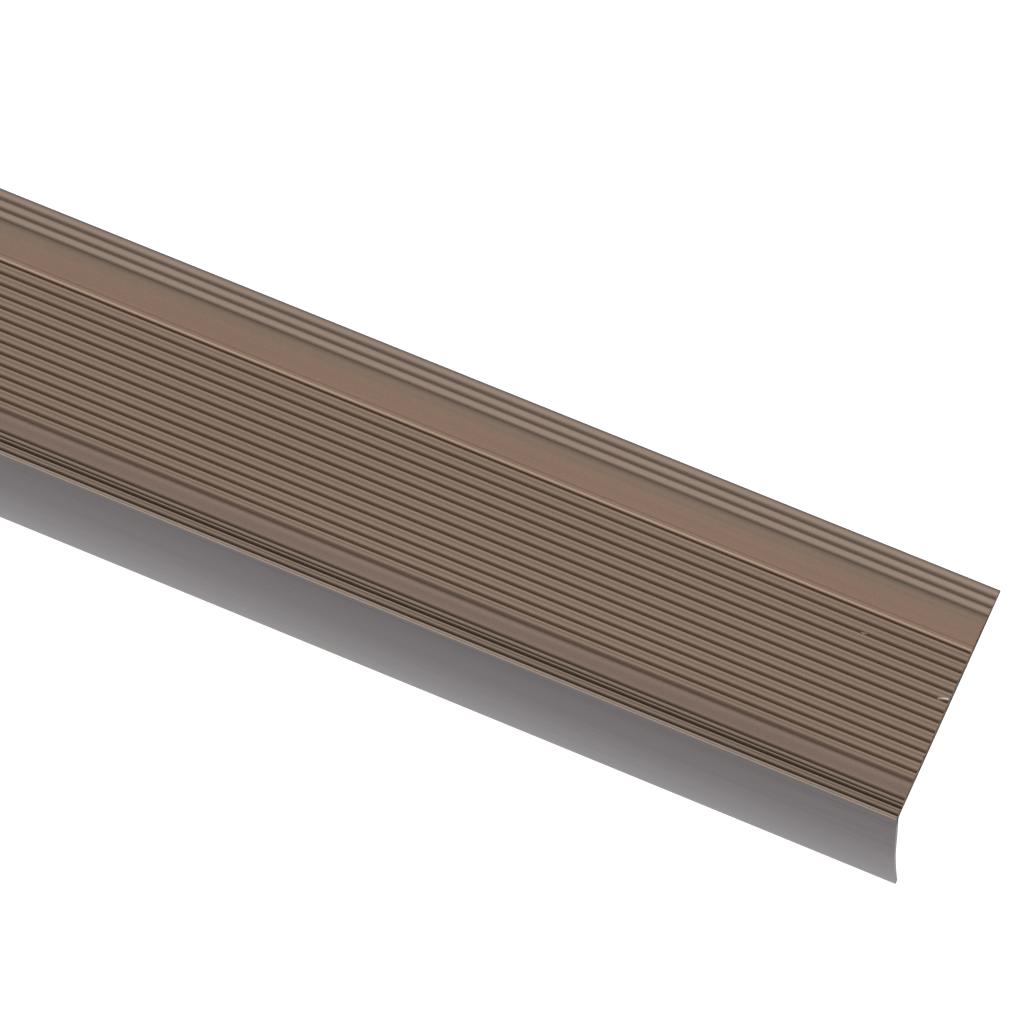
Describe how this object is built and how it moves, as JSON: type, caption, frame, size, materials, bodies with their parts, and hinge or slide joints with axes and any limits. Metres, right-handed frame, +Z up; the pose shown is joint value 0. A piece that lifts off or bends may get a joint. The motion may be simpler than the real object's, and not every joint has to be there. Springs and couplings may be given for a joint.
{
  "type": "threshold strip",
  "caption": "Ribbed bronze aluminium sill nosing: a thin grooved tread with a curved front apron, fixed through its smooth band by countersunk screws.",
  "frame": {"origin": "on the tread's flat underside, at mid-length and midway between the back edge and the nosing", "axes": "+X along the strip, +Y from the nosing towards the back edge (indoors), +Z up out of the sill"},
  "size_m": [0.9144, 0.0698, 0.0381],
  "materials": {
    "bronze_anodised": "satin dark bronze anodising over an extruded surface, with fine die lines along the strip",
    "screw_bronze": "dark bronze plated steel"
  },
  "bodies": {
    "root": {"nosing_extrusion": "bronze_anodised", "fixing_screw_left": "screw_bronze", "fixing_screw_right": "screw_bronze"}
  },
  "joints": []
}
